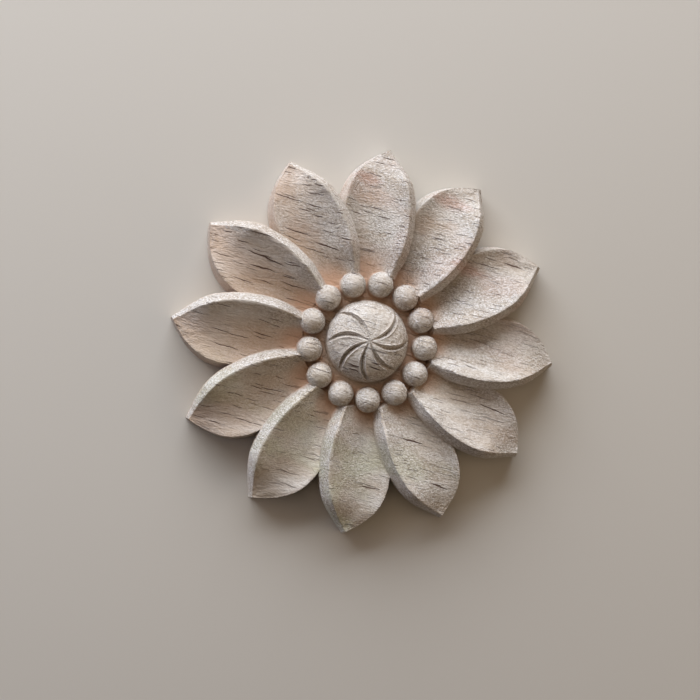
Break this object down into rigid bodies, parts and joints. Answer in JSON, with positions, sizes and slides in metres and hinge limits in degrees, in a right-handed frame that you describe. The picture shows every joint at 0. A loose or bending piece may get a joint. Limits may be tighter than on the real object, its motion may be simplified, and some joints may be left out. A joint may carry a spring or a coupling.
{
  "type": "carved wood applique",
  "caption": "Round flower rosette carved from one piece of pale wood: cupped petals lapped like a pinwheel, a bead ring and a fluted dome, flat back.",
  "frame": {"origin": "centre of the flat back", "axes": "+Z out of the carved face, +X along the tip of one petal"},
  "size_m": [0.0794, 0.0794, 0.0107],
  "materials": {
    "rubberwood": "raw, unsanded carving with open grain, no varnish"
  },
  "bodies": {
    "root": {"rosette": "rubberwood"}
  },
  "joints": []
}
